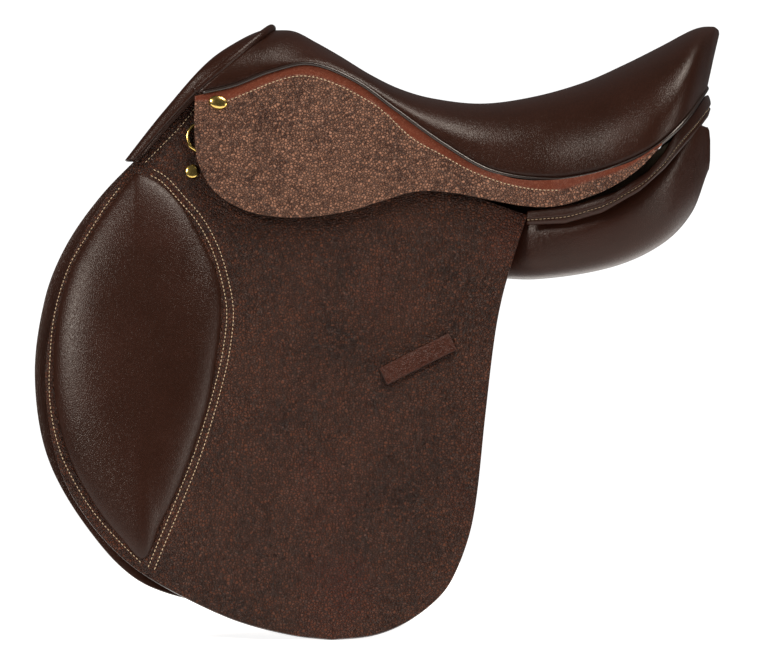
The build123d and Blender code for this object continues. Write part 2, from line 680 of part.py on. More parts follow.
# ---------------------------------------------------------------- pommel, facings and welts
HEAD_LINE = [(86, -84), (79, -42), (70.5, 0), (66, 36), (44, 72), (0, 87)]
ROLL_SIDE = [(-166.8, 211.9), (-170.8, 216.4), (-241.2, 154.8), (-237.3, 150.4)]
FACING_FRONT = [(-183, 210.5), (-203, 196), (-228, 178), (-241, 163), (-254, 149), (-267, 136), (-279, 121),
                (-299, 92)]
FACING_BACK = [(-299, 92), (-292, 92), (-254.5, 134), (-247, 142.5), (-242.7, 154.2), (-180, 209), (-183, 210.5)]
REAR_TOP = [(40, 51.5), (79, 56), (110, 66), (136, 82), (151, 99), (161, 114), (177, 132), (188, 147.5)]
REAR_LOW = [(194, 141.5), (180, 119), (167, 104.5), (151, 86), (130.6, 68), (100, 50), (69, 41), (40, 40)]
REAR_PLAN = [(40, 97), (75, 104), (108, 112), (138, 112), (163, 96), (180, 68), (189, 38), (192.5, 0)]


def head_loop(wall, grow=0.0):
    """An inverted U in the plane of the pommel, deep enough to cut slices from."""
    plane = rib_plane(RIBS[0])[0]
    outer = both_ways([(y + grow, z + grow) for y, z in HEAD_LINE])
    inner = both_ways([(y - wall, z - wall * (z > 60)) for y, z in HEAD_LINE])
    outside = make_face([Spline(*outer), Line(outer[-1], outer[0])])
    inside = make_face([Spline(*inner), Line(inner[-1], inner[0])])
    return plane * extrude(outside - inside, amount=30.0, both=True)


def rear_facing():
    wide = cantle_half_width / DRAWN_CANTLE
    line = both_plan([(spot(x, 0)[0], y * wide) for x, y in REAR_PLAN])
    ring = plan_ring(line, shifted(line, -facing_leather))
    ends = spots([REAR_TOP[-1], REAR_LOW[0]]), spots([REAR_LOW[-1], REAR_TOP[0]])
    return ring & side_prism([spots(REAR_TOP), ends[0], spots(REAR_LOW), ends[1]])


def make_head():
    """The rolled pommel edge, the facings and the welts."""
    facing = [spots(FACING_FRONT), spots(FACING_BACK)]
    near = [rib(entry)[:3] for entry in RIBS[:-2]]
    near[0] = near[0][0] + 5, near[0][1] + 1, near[0][2]
    path = Spline(*[(x, -(half + welt_offset), z) for x, z, half in near])
    start = Plane(origin=path @ 0, z_dir=path % 0)
    return {
        "pommel_roll": head_loop(12.0, 1.0) & side_prism(ring_of(spots(ROLL_SIDE))),
        "front_facing": head_loop(16.0) & side_prism([facing[0]] + ring_of(facing[1])[:-1]),
        "rear_facing": rear_facing(),
        "seat_welt_left": sweep(start * Circle(welt_radius), path=path),
    }


# ---------------------------------------------------------------- panels
# Stations along the near panel: x, then (half width, z) of the inner top, inner low,
# outer low and outer top corners.
STATIONS = [
    (-262, (54, 62), (86, -44), (97, -46), (58, 64)),
    (-225, (37, 92), (80, -56), (98, -59), (46, 93)),
    (-150, (34, 93), (72, -50), (96, -53), (46, 95)),
    (-80, (32, 84), (50, -20), (89, -22), (47, 86)),
    (-10, (31, 76), (36, 1), (82, 0), (56, 78)),
    (50, (31, 76), (34, 1), (90, 2), (90, 42)),
    (108, (33, 90), (34, 10), (96, 12), (104, 52)),
    (150, (35, 112), (36, 30), (90, 36), (98, 84)),
    (184, (38, 122), (40, 72), (58, 76), (64, 114)),
]


def pad_section(station, skin, step):
    """A rounded section of the panel, drawn in by skin and moved along by step."""
    x, corners = station[0], station[1:]
    corners = [(y, z * panel_depth if z < 0 else spot(0, z)[1]) for y, z in corners]
    cy = sum(y for y, z in corners) / 4
    cz = sum(z for y, z in corners) / 4
    ring = []
    for (y0, z0), (y1, z1) in zip(corners, corners[1:] + corners[:1]):
        for part in (0.25, 0.75):
            y, z = y0 + (y1 - y0) * part, z0 + (z1 - z0) * part
            far = hypot(y - cy, z - cz)
            ring.append((-(y - (y - cy) / far * skin), z - (z - cz) / far * skin))
    plane = Plane(origin=(spot(x, 0)[0] + step, 0, 0), x_dir=(0, 1, 0), z_dir=(1, 0, 0))
    return plane * make_face([Line(a, b) for a, b in zip(ring, ring[1:] + ring[:1])])


def pad_body(skin):
    ends = {0: skin, len(STATIONS) - 1: -skin}
    return loft([pad_section(s, skin, ends.get(i, 0.0)) for i, s in enumerate(STATIONS)])


def make_panels():
    lining = spots([(-215, 78), (-150, 82), (-80, 74), (-10, 62), (60, 62), (120, 78), (170, 108)])
    lower = [(x, z - gullet_leather) for x, z in reversed(lining)]
    sheet = side_prism([lining, [lining[-1], lower[0]], lower, [lower[-1], lining[0]]], gullet_half_width - 1)
    return {
        "panel_cover_left": pad_body(0.0) - pad_body(panel_leather),
        "panel_flock_left": pad_body(panel_leather + flocking_gap),
        "gullet_lining": sheet,
    }


def main():
    os.makedirs("parts", exist_ok=True)
    nodes = {"seat_cover": seat_cover(), "seat_foam": seat_foam()}
    nodes.update(make_tree())
    nodes.update(make_webs())
    bars, holes = make_bars()
    nodes.update(bars)
    for hole in holes:
        nodes["saddle_tree"] -= hole + off_side(hole)
    nodes.update(make_dees())
    nodes.update(make_skirts())
    nodes.update(make_flaps())
    nodes.update(make_sweat_flaps())
    nodes.update(make_straps())
    nodes.update(make_head())
    nodes.update(make_panels())
    for name in [n for n in nodes if n.endswith("_left")]:
        nodes[name[:-5] + "_right"] = off_side(nodes[name])
    for name, shape in nodes.items():
        export_step(shape, f"parts/{name}.step")


if __name__ == "__main__":
    main()
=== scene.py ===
"""An English jumping saddle: the visible leather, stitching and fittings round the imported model.

Lengths in the tables are millimetres in the saddle's own frame: X to the cantle, -Y to the
near side, Z up. Side-view points are (x, z). Everything is turned to metres when it is meshed.
"""

import bmesh
import bpy
import numpy as np
from bpy.props import FloatProperty, FloatVectorProperty, PointerProperty
from bpy.types import Operator, Panel, PropertyGroup
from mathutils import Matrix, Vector


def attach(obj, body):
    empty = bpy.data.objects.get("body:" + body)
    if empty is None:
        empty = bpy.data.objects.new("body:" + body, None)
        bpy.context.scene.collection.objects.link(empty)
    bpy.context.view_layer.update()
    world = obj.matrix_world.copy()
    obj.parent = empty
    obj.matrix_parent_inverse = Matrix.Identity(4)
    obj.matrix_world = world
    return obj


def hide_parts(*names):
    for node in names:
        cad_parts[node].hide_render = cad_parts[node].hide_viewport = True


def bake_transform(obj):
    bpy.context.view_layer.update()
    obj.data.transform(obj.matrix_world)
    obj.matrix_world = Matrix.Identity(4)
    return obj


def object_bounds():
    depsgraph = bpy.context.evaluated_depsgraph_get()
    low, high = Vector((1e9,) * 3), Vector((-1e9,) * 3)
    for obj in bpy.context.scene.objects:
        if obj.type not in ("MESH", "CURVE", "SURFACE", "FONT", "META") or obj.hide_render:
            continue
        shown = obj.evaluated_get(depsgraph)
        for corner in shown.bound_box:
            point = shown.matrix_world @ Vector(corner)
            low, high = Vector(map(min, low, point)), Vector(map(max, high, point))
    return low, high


bl_info = {
    "name": "English saddle",
    "version": (1, 0, 0),
    "blender": (4, 5, 0),
    "location": "View3D > Sidebar > Saddle",
    "description": "Builds the leather, stitching and fittings of an English jumping saddle",
    "category": "Object",
}

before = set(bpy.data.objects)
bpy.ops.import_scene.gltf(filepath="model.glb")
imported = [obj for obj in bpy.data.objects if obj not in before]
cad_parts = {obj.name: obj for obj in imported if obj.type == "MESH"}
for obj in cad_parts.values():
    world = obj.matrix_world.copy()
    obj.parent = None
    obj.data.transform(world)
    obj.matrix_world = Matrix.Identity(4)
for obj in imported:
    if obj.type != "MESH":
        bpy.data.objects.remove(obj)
cad_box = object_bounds()

MM = 0.001
LEAN = np.radians(16.0)
TOP_HALF_WIDTH = 72.0
NAIL_Z = 144.5
SIDES = ("left", "right")
FLAP_DEPTH = -9.5
SWEAT_DEPTH = -21.5


# ------------------------------------------------------------------ colours and materials
def linear(code, alpha=1.0):
    """An sRGB hex colour as linear RGBA."""
    srgb = np.array([int(code[i : i + 2], 16) for i in (1, 3, 5)]) / 255
    rgb = np.where(srgb <= 0.04045, srgb / 12.92, ((srgb + 0.055) / 1.055) ** 2.4)
    return (*map(float, rgb), alpha)


def rgba(colour):
    """A hex colour as linear RGBA, and a colour property as it is."""
    return linear(colour) if isinstance(colour, str) else tuple(colour)


def add(tree, kind, inputs=None, **settings):
    """Adds a node, sets its attributes, then sets its inputs or links them to other sockets."""
    node = tree.nodes.new(kind)
    for key, value in settings.items():
        setattr(node, key, value)
    for key, value in (inputs or {}).items():
        if isinstance(value, bpy.types.NodeSocket):
            tree.links.new(value, node.inputs[key])
        else:
            node.inputs[key].default_value = value
    return node


def ramp(tree, value, stops):
    """A colour ramp through (position, hex colour) stops."""
    node = add(tree, "ShaderNodeValToRGB", {"Fac": value})
    band = node.color_ramp
    for place, (position, code) in enumerate(stops):
        stop = band.elements[place] if place < 2 else band.elements.new(position)
        stop.position = position
        stop.color = rgba(code)
    return node.outputs["Color"]


def start_material(name):
    """An empty material, its node tree and the piece's own coordinates in metres."""
    material = bpy.data.materials.new(name)
    material.use_nodes = True
    tree = material.node_tree
    tree.nodes.clear()
    place = add(tree, "ShaderNodeTexCoord").outputs["Object"]
    return material, tree, place


def end_material(tree, shader):
    add(tree, "ShaderNodeOutputMaterial", {"Surface": shader.outputs["BSDF"]})


def leather(name, dark, light, warm, grain_mm, depth_mm, roughness, patch=0.3, crease_shade="#1a0f0b", crease_shade_share=0.5,
            sheen_spots=0.0, strip=False):
    """Chrome-tanned cowhide with a pigmented finish. The grain is a net of small cells with painted
    shade darkening the creases between them, over slow changes of tone, and wider patches where the
    red-brown ground shows through the finish. Each cell is lightened by a random amount, a painted
    sheen standing in for glints on the cell tops. With a strip, the leather beside the seam is stretched
    smooth and redder, by the near_seam attribute."""
    material, tree, place = start_material(name)
    bend = add(tree, "ShaderNodeTexNoise", {"Vector": place, "Scale": 0.5 / (grain_mm * MM), "Detail": 3.0})
    shift = add(tree, "ShaderNodeVectorMath", {0: bend.outputs["Color"], "Scale": grain_mm * MM * 1.2},
                operation="SCALE")
    bent = add(tree, "ShaderNodeVectorMath", {0: place, 1: shift.outputs["Vector"]}, operation="ADD")
    cells = add(tree, "ShaderNodeTexVoronoi", {"Vector": bent.outputs["Vector"], "Scale": 1 / (grain_mm * MM)},
                feature="DISTANCE_TO_EDGE")
    each = add(tree, "ShaderNodeTexVoronoi", {"Vector": bent.outputs["Vector"], "Scale": 1 / (grain_mm * MM)})
    tone = add(tree, "ShaderNodeTexNoise", {"Vector": place, "Scale": 14.0, "Detail": 6.0, "Roughness": 0.65})
    patches = add(tree, "ShaderNodeTexNoise", {"Vector": place, "Scale": 7.5, "Detail": 3.0, "Roughness": 0.55})
    split = add(tree, "ShaderNodeSeparateColor", {"Color": each.outputs["Color"]})
    # Painted sheen: each cell is lightened by a random amount, standing in for glints on the cell tops
    lively = add(tree, "ShaderNodeMath", {0: split.outputs["Red"], 1: sheen_spots, 2: tone.outputs["Fac"]},
                 operation="MULTIPLY_ADD")
    base = ramp(tree, lively.outputs[0], [(0.34, dark), (0.66 + sheen_spots * 0.8, light)])
    spread = add(tree, "ShaderNodeMapRange", {"Value": patches.outputs["Fac"], "From Min": 0.54, "From Max": 0.72,
                                              "To Max": patch})
    red = add(tree, "ShaderNodeMix", {"Factor": spread.outputs["Result"], "A": base, "B": rgba(warm)},
              data_type="RGBA")
    # Painted shade: the creases between the cells are darkened towards a near-black colour
    crease_shade_mask = add(tree, "ShaderNodeMapRange", {"Value": cells.outputs["Distance"], "From Max": 0.26,
                                              "To Min": crease_shade_share, "To Max": 0.0})
    colour = add(tree, "ShaderNodeMix", {"Factor": crease_shade_mask.outputs["Result"], "A": red.outputs["Result"],
                                         "B": rgba(crease_shade)}, data_type="RGBA")
    height = add(tree, "ShaderNodeMapRange", {"Value": cells.outputs["Distance"], "From Max": 0.34},
                 interpolation_type="SMOOTHSTEP")
    bump = add(tree, "ShaderNodeBump", {"Height": height.outputs["Result"], "Strength": 1.0,
                                        "Distance": depth_mm * MM})
    if strip:
        beside = add(tree, "ShaderNodeAttribute", attribute_name="near_seam")
        colour = add(tree, "ShaderNodeMix", {"Factor": beside.outputs["Fac"], "A": colour.outputs["Result"],
                                             "B": rgba(warm)}, data_type="RGBA")
        flat = add(tree, "ShaderNodeMath", {0: 1.0, 1: beside.outputs["Fac"]}, operation="SUBTRACT")
        tree.links.new(flat.outputs[0], bump.inputs["Strength"])
    gloss = add(tree, "ShaderNodeMapRange", {"Value": tone.outputs["Fac"], "To Min": roughness - 0.07,
                                             "To Max": roughness + 0.07})
    shader = add(tree, "ShaderNodeBsdfPrincipled", {
        "Base Color": colour.outputs["Result"], "Roughness": gloss.outputs["Result"], "Normal": bump.outputs["Normal"],
        "IOR": 1.5, "Specular IOR Level": 0.17})
    end_material(tree, shader)
    return material


def plain_finish(name, code, roughness, metallic=0.0, speck=900.0, rough_by=0.06, depth=0.02, low=None):
    """A solid material with fine unevenness in tone and height, such as brass, paint or thread."""
    material, tree, place = start_material(name)
    noise = add(tree, "ShaderNodeTexNoise", {"Vector": place, "Scale": speck, "Detail": 4.0})
    colour = ramp(tree, noise.outputs["Fac"], [(0.3, low or code), (0.7, code)])
    gloss = add(tree, "ShaderNodeMapRange", {"Value": noise.outputs["Fac"], "To Min": roughness - rough_by,
                                             "To Max": roughness + rough_by})
    bump = add(tree, "ShaderNodeBump", {"Height": noise.outputs["Fac"], "Strength": 0.4, "Distance": depth * MM})
    shader = add(tree, "ShaderNodeBsdfPrincipled", {
        "Base Color": colour, "Roughness": gloss.outputs["Result"], "Normal": bump.outputs["Normal"],
        "Metallic": metallic})
    end_material(tree, shader)
    return material


def laminated_beech(name):
    """Pressed beech plies, stained dark: fine lines 1.5 mm apart under varnish."""
    material, tree, place = start_material(name)
    plies = add(tree, "ShaderNodeTexWave", {"Vector": place, "Scale": 105.0, "Distortion": 3.0, "Detail": 2.0},
                bands_direction="Z")
    colour = ramp(tree, plies.outputs["Fac"], [(0.1, "#2b1d13"), (0.6, "#4a3524")])
    bump = add(tree, "ShaderNodeBump", {"Height": plies.outputs["Fac"], "Strength": 0.2, "Distance": 0.05 * MM})
    end_material(tree, add(tree, "ShaderNodeBsdfPrincipled", {
        "Base Color": colour, "Roughness": 0.4, "Normal": bump.outputs["Normal"]}))
    return material


def woven_web(name):
    """Jute and cotton webbing: threads 0.8 mm apart crossing at right angles."""
    material, tree, place = start_material(name)
    along = add(tree, "ShaderNodeTexWave", {"Vector": place, "Scale": 195.0, "Distortion": 1.0},
                bands_direction="X")
    across = add(tree, "ShaderNodeTexWave", {"Vector": place, "Scale": 195.0, "Distortion": 1.0},
                 bands_direction="Y")
    cross = add(tree, "ShaderNodeMath", {0: along.outputs["Fac"], 1: across.outputs["Fac"]}, operation="MULTIPLY")
    colour = ramp(tree, cross.outputs[0], [(0.05, "#8f866c"), (0.6, "#cdc3a6")])
    bump = add(tree, "ShaderNodeBump", {"Height": cross.outputs[0], "Strength": 0.7, "Distance": 0.3 * MM})
    end_material(tree, add(tree, "ShaderNodeBsdfPrincipled", {
        "Base Color": colour, "Roughness": 0.85, "Normal": bump.outputs["Normal"]}))
    return material


FINISHES = {}


def make_finishes(colours):
    """Every finish on the saddle, by the short name that pieces ask for it by."""
    # Flaps and skirts are shrunken pebble grain, with painted shade in the creases and a painted sheen on the
    # cell tops. Real cells are 1 to 2 mm across, and are drawn at 2.3 mm so that they show
    FINISHES["grain"] = leather("pebble_grained_cowhide", "#1c0d08", colours.flap_leather, "#4a1f15", 2.3, 1.0,
                                0.36, 0.5, "#0c0504", 0.9, 0.5)
    FINISHES["skirt"] = leather("skirt_pebble_cowhide", "#2e1811", colours.skirt_leather, "#542618", 2.3, 1.0,
                                0.38, 0.2, "#120806", 0.9, 0.6, True)
    # Seat, pads and panels are a calf finish: fine cells that hardly show, with faint painted shade in their creases
    # and a faint painted sheen, and soft broad highlights
    FINISHES["smooth"] = leather("smooth_calf", "#211009", colours.seat_leather, "#331812", 1.5, 0.08,
                                 0.30, 0.3, "#140906", 0.4, 0.1)
    # Straps and keepers are bridle leather, waxed, so redder and a little glossier, with painted shade in the creases
    # and a painted sheen on the cells
    FINISHES["strap"] = leather("bridle_leather", "#33180f", "#422117", "#4b2215", 1.8, 0.2,
                                0.36, 0.4, "#180b08", 0.6, 0.3)
    # Cut edges and welts are painted black and rubbed, which leaves a low shine
    FINISHES["edge"] = plain_finish("burnished_black_edge", "#1c1310", 0.30, depth=0.05)
    # Linen thread is twisted and waxed: pale, dull and slightly uneven
    FINISHES["thread"] = plain_finish("waxed_linen_thread", colours.thread, 0.60, speck=2600.0, depth=0.06,
                                      low="#8d7b62")
    # Brass is pressed and polished, so it mirrors the lights; forged steel is duller and greyer
    FINISHES["brass"] = plain_finish("polished_brass", colours.brass, 0.20, 1.0, speck=500.0, depth=0.01,
                                     low="#b89a50")
    FINISHES["steel"] = plain_finish("forged_steel", "#8c8c8e", 0.34, 1.0, speck=300.0, depth=0.03, low="#77787a")
    FINISHES["wood"] = laminated_beech("laminated_beech")
    FINISHES["web"] = woven_web("woven_webbing")
    # Foam is cut from a block and flock is carded wool: both pale and without any shine
    FINISHES["foam"] = plain_finish("cut_latex_foam", "#d8cfae", 0.9, speck=800.0, depth=0.4, low="#c4b88f")
    FINISHES["wool"] = plain_finish("wool_flock", "#d5d0c2", 0.95, speck=700.0, depth=0.6, low="#bdb6a4")


# ------------------------------------------------------------------ curves and surfaces
def path_through(points, count):
    """A smooth path through points, at count places evenly spaced along it: cubic pieces whose
    slope at each point is that of the chord between its neighbours."""
    p = np.array(points, float)
    t = np.concatenate([[0], np.cumsum(np.linalg.norm(np.diff(p, axis=0), axis=1))])
    slope = np.empty_like(p)
    slope[1:-1] = (p[2:] - p[:-2]) / (t[2:] - t[:-2])[:, None]
    slope[0] = (p[1] - p[0]) / (t[1] - t[0])
    slope[-1] = (p[-1] - p[-2]) / (t[-1] - t[-2])
    fine = np.linspace(0, t[-1], 12 * count)
    i = np.clip(np.searchsorted(t, fine, "right") - 1, 0, len(p) - 2)
    h = (t[i + 1] - t[i])[:, None]
    s = ((fine - t[i]) / h[:, 0])[:, None]
    dense = ((2 * s**3 - 3 * s**2 + 1) * p[i] + (s**3 - 2 * s**2 + s) * h * slope[i]
             + (-2 * s**3 + 3 * s**2) * p[i + 1] + (s**3 - s**2) * h * slope[i + 1])
    run = np.concatenate([[0], np.cumsum(np.linalg.norm(np.diff(dense, axis=0), axis=1))])
    places = np.linspace(0, run[-1], count)
    return np.stack([np.interp(places, run, dense[:, k]) for k in range(p.shape[1])], axis=1)


def ease(value, low, high):
    """0 below low, 1 above high and smooth between."""
    t = np.clip((value - low) / (high - low), 0, 1)
    return t * t * (3 - 2 * t)


def leaf_y(z, depth=0.0):
    """Half width of the leaning plane at height z, depth below the skirt's face."""
    return TOP_HALF_WIDTH + (NAIL_Z - z) * np.tan(LEAN) + depth / np.cos(LEAN)


def on_leaf(x, z, depth=0.0):
    """Near-side points on the leaning plane, moved out of it along its normal by depth."""
    y = TOP_HALF_WIDTH + (NAIL_Z - z) * np.tan(LEAN)
    return np.stack([x, -y - depth * np.cos(LEAN), z + depth * np.sin(LEAN)], axis=-1)


def off_side(grid):
    """The mirrored surface, with its rows turned round so that it still faces outwards."""
    return (grid * [1, -1, 1])[:, ::-1]


def mesh_grid(name, grid, finishes, body, around=False, ring=False, outward=None, keep=None):
    """A mesh from a grid of points. around joins the last column to the first, ring the last row
    to the first. outward is a direction for an open sheet; a closed form needs none."""
    rows, cols = grid.shape[:2]
    points = grid.reshape(-1, 3) * MM
    r = np.arange(rows if ring else rows - 1)
    c = np.arange(cols if around else cols - 1)
    a, b = np.meshgrid(r, c, indexing="ij")
    a2, b2 = (a + 1) % rows, (b + 1) % cols
    faces = np.stack([a * cols + b, a2 * cols + b, a2 * cols + b2, a * cols + b2], -1).reshape(-1, 4)
    if keep is not None:
        middle = points[faces].mean(axis=1) / MM
        faces = faces[keep(middle)]
    corner = points[faces]
    normal = np.cross(corner[:, 2] - corner[:, 0], corner[:, 3] - corner[:, 1])
    if outward is None:
        facing = (normal * (corner.mean(axis=1) - points.mean(axis=0))).sum()
    else:
        facing = (normal @ np.array(outward, float)).sum()
    if facing < 0:
        faces = faces[:, ::-1]
    mesh = bpy.data.meshes.new(name)
    mesh.from_pydata(points.tolist(), [], faces.tolist())
    mesh.validate()
    piece = bpy.data.objects.new(name, mesh)
    bpy.context.scene.collection.objects.link(piece)
    mesh.shade_smooth()
    for finish in finishes:
        mesh.materials.append(FINISHES[finish])
    merge(mesh)
    if body:
        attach(piece, body)
    return piece


def merge(mesh):
    """Joins points that lie on each other, such as those of a pole."""
    work = bmesh.new()
    work.from_mesh(mesh)
    bmesh.ops.remove_doubles(work, verts=work.verts, dist=0.00001)
    bmesh.ops.dissolve_degenerate(work, edges=work.edges, dist=0.000005)
    work.to_mesh(mesh)
    work.free()


def thicken(piece, thickness, bevel=0.7):
    """Gives a sheet its thickness behind its face, a dark painted edge and rounded corners."""
    solid = piece.modifiers.new("thickness", "SOLIDIFY")
    solid.thickness = thickness * MM
    solid.offset = -1.0
    solid.material_offset_rim = 1
    if bevel:
        rounding = piece.modifiers.new("rounding", "BEVEL")
        rounding.width = bevel * MM
        rounding.segments = 2
        rounding.limit_method = "ANGLE"
        rounding.angle_limit = np.radians(50)
    return piece


def tube(name, path, radii, finish, body, sides=16, up=(0, 1, 0), ends=True):
    """A tube along a path. radii is (across, along up), each one number or one per point.
    The section turns with the path: up is made square to it at every point."""
    step = np.gradient(path, axis=0)
    step /= np.linalg.norm(step, axis=1)[:, None]
    up = np.broadcast_to(np.array(up, float), path.shape)
    across = np.cross(step, up)
    across /= np.linalg.norm(across, axis=1)[:, None]
    up = np.cross(across, step)
    turn = np.linspace(0, 2 * np.pi, sides, endpoint=False)
    ra, ru = [np.broadcast_to(np.array(r, float), len(path)) for r in radii]
    grid = (path[:, None] + (ra[:, None] * np.cos(turn))[..., None] * across[:, None]
            + (ru[:, None] * np.sin(turn))[..., None] * up[:, None])
    if ends:
        grid = np.concatenate([path[:1, None] + 0 * grid[:1], grid, path[-1:, None] + 0 * grid[:1]])
    return mesh_grid(name, grid, [finish], body, around=True)


def stitches(name, path, normal, body, finish="thread", length=2.3, gap=1.1, thick=0.40):
    """A row of stitches: a small six-sided spindle every length + gap along the path."""
    run = np.linalg.norm(np.diff(path, axis=0), axis=1).sum()
    count = max(int(run / (length + gap)), 2)
    where = path_through(path, count + 1)
    start, step = where[:-1], np.diff(where, axis=0)
    step /= np.linalg.norm(step, axis=1)[:, None]
    normal = np.broadcast_to(np.array(normal, float), start.shape)
    side = np.cross(step, normal)
    side /= np.linalg.norm(side, axis=1)[:, None]
    lift = np.cross(side, step)
    turn = np.linspace(0, 2 * np.pi, 6, endpoint=False)
    stations = np.array([[0, 0.0], [0.18, 0.8], [0.5, 1.0], [0.82, 0.8], [1, 0.0]])
    along = stations[:, 0] * length
    wide = stations[:, 1] * thick
    dip = -0.35 * thick * (2 * stations[:, 0] - 1) ** 2
    shape = (start[:, None, None] + step[:, None, None] * along[None, :, None, None]
             + side[:, None, None] * (wide[:, None] * np.cos(turn))[None, ..., None]
             + lift[:, None, None] * (0.75 * wide[:, None] * np.sin(turn) + dip[:, None])[None, ..., None])
    rows, cols = len(along), len(turn)
    a, b = np.meshgrid(np.arange(rows - 1), np.arange(cols), indexing="ij")
    b2 = (b + 1) % cols
    one = np.stack([a * cols + b, a * cols + b2, (a + 1) * cols + b2, (a + 1) * cols + b], -1).reshape(-1, 4)
    faces = (one[None] + (np.arange(count) * rows * cols)[:, None, None]).reshape(-1, 4)
    mesh = bpy.data.meshes.new(name)
    mesh.from_pydata((shape.reshape(-1, 3) * MM).tolist(), [], faces.tolist())
    mesh.shade_smooth()
    mesh.materials.append(FINISHES[finish])
    piece = bpy.data.objects.new(name, mesh)
    bpy.context.scene.collection.objects.link(piece)
    merge(mesh)
    if body:
        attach(piece, body)
    return piece


def both(side, grid):
    return grid if side == "left" else off_side(grid)


def mirrored(side, points):
    return points if side == "left" else points * [1, -1, 1]


def outward_of(side):
    return (0, -1, 0.3) if side == "left" else (0, 1, 0.3)


# ------------------------------------------------------------------ seat
# Seam x, z and half width (None in the leaning plane), then ridge x, z
RIBS = [
    (-238, 150, None, -175, 206),
    (-207, 157, None, -157, 205),
    (-176, 169, None, -139, 196),
    (-143, 175.5, None, -118, 184),
    (-105, 161, None, -92, 168),
    (-73, 138, None, -67, 156),
    (-33, 109, None, -38, 148),
    (8, 85.5, 91, 2, 144),
    (55, 78, 99, 46, 150),
    (90, 82, 109, 88, 162),
    (118, 91, 116, 122, 177),
    (145, 105, 117, 152, 192),
    (168, 126, 101, 180, 206.5),
    (184, 147, 62, 196, 209),
    (190, 155, 34, 201, 206.5),
    (191, 157, 14, 202, 204),
    (191.5, 158, 2, 202, 202),
]


def seat_rows(count):
    """The ribs worked out smoothly at many places: seam x, z, half width, ridge x, z."""
    rows = [(x, z, leaf_y(z) if half is None else half, cx, cz) for x, z, half, cx, cz in RIBS]
    return path_through(rows, count)


def seat_surface(drop=0.0, columns=72, count=150):
    """Ribs from seam to seam. Across a rib the half width goes as the sine and the height as
    the cosine to the power 0.85; the rider's channel is a shallow dip behind the middle."""
    rows = seat_rows(count)
    angle = np.linspace(-np.pi / 2, np.pi / 2, columns)
    wide = np.sin(angle)[None] * (rows[:, 2:3] - drop)
    rise = np.cos(angle)[None] ** 0.85
    scale = rise * (1 - drop / 60)
    x = rows[:, 0:1] + (rows[:, 3:4] - rows[:, 0:1]) * scale
    z = rows[:, 1:2] + (rows[:, 4:5] - rows[:, 1:2]) * scale
    return np.stack([x, wide, z], axis=-1)


class SADDLE_OT_seat(Operator):
    """The blocked seat leather and its welts"""

    bl_idname = "saddle.seat"
    bl_label = "Seat"

    def execute(self, context):
        seat = mesh_grid("seat_leather", seat_surface(), ["smooth", "edge"], "saddle", outward=(0, 0, 1))
        thicken(seat, 2.2, 0)
        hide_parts("seat_cover", "seat_foam")
        rows = seat_rows(220)
        for side in SIDES:
            line = np.stack([rows[:, 0], -rows[:, 2] - 1.0, rows[:, 1] - 0.2], axis=1)[2:-3]
            welt = tube(f"seat_welt_{side}_cord", mirrored(side, line), (1.5, 1.5), "edge", "saddle", 10)
            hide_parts(f"seat_welt_{side}")
        return {"FINISHED"}


HEAD_ORIGIN = np.array([-237.0, 0.0, 150.0])
HEAD_UP = np.array([63.0, 0.0, 55.0]) / np.hypot(63.0, 55.0)
HEAD_FORWARD = np.array([-HEAD_UP[2], 0.0, HEAD_UP[0]])
HEAD_LINE = [(-86, -84), (-79, -42), (-70.5, 0), (-66, 36), (-44, 72), (-20, 84), (0, 87)]


def head_path(drawn_in, forward, count=140, low=-84):
    """The inverted U of the pommel, drawn in from its outer line, forward of the seat's edge."""
    half = [(y, h) for y, h in HEAD_LINE if h >= low]
    line = path_through(half + [(-y, h) for y, h in half[-2::-1]], count)
    step = np.gradient(line, axis=0)
    step /= np.linalg.norm(step, axis=1)[:, None]
    line = line + np.stack([step[:, 1], -step[:, 0]], 1) * drawn_in
    return (HEAD_ORIGIN + np.array([0, 1, 0]) * line[:, :1] + HEAD_UP * line[:, 1:2]
            + HEAD_FORWARD * np.broadcast_to(forward, count)[:, None])


# The facing's front and back lines in side view, as (x, z)
FACING_FRONT = [(-299, 92), (-265, 136), (-228, 178), (-198, 199), (-174, 212)]
FACING_BACK = [(-291, 92), (-243, 146), (-204, 182), (-171, 212)]


def facing_surface(count=180, around=40):
    """A band along the inverted U. Across it the front rises as two soft lobes, a wide one and a
    narrow one, with a sewn groove between them, and the back is flat. In side view it stays
    between the facing's front and back lines."""
    turn = np.linspace(0, 2 * np.pi, around, endpoint=False)
    place = 7.5 - 7.5 * np.cos(turn)
    lobes = np.abs(np.sin(turn)) ** 0.7 * (1 - 0.45 * np.exp(-(((place - 9.6) / 1.5) ** 2)))
    bulge = np.where(turn < np.pi, lobes, 0.0)
    paths = np.stack([head_path(d, np.zeros(1), count) for d in place], axis=1)
    z = paths[..., 2]
    front, back = [np.interp(z, *path_through(line, 60).T[::-1]) for line in (FACING_FRONT, FACING_BACK)]
    x = back + (front - back) * bulge[None]
    grid = np.stack([x, paths[..., 1], z], axis=-1)
    middle = grid.mean(axis=1, keepdims=True)
    return np.concatenate([middle[:1] + 0 * grid[:1], grid, middle[-1:] + 0 * grid[-1:]])


class SADDLE_OT_pommel(Operator):
    """The rolled edge along the pommel and the soft facing in front of it"""

    bl_idname = "saddle.pommel"
    bl_label = "Pommel"

    def execute(self, context):
        roll = tube("pommel_edge_roll", head_path(3.2, 3.0, low=0), (3.4, 3.6), "smooth", "saddle", 18,
                    up=tuple(HEAD_FORWARD))
        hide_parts("pommel_roll")
        facing = mesh_grid("front_facing_roll", facing_surface(), ["smooth"], "saddle", around=True)
        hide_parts("front_facing")
        return {"FINISHED"}


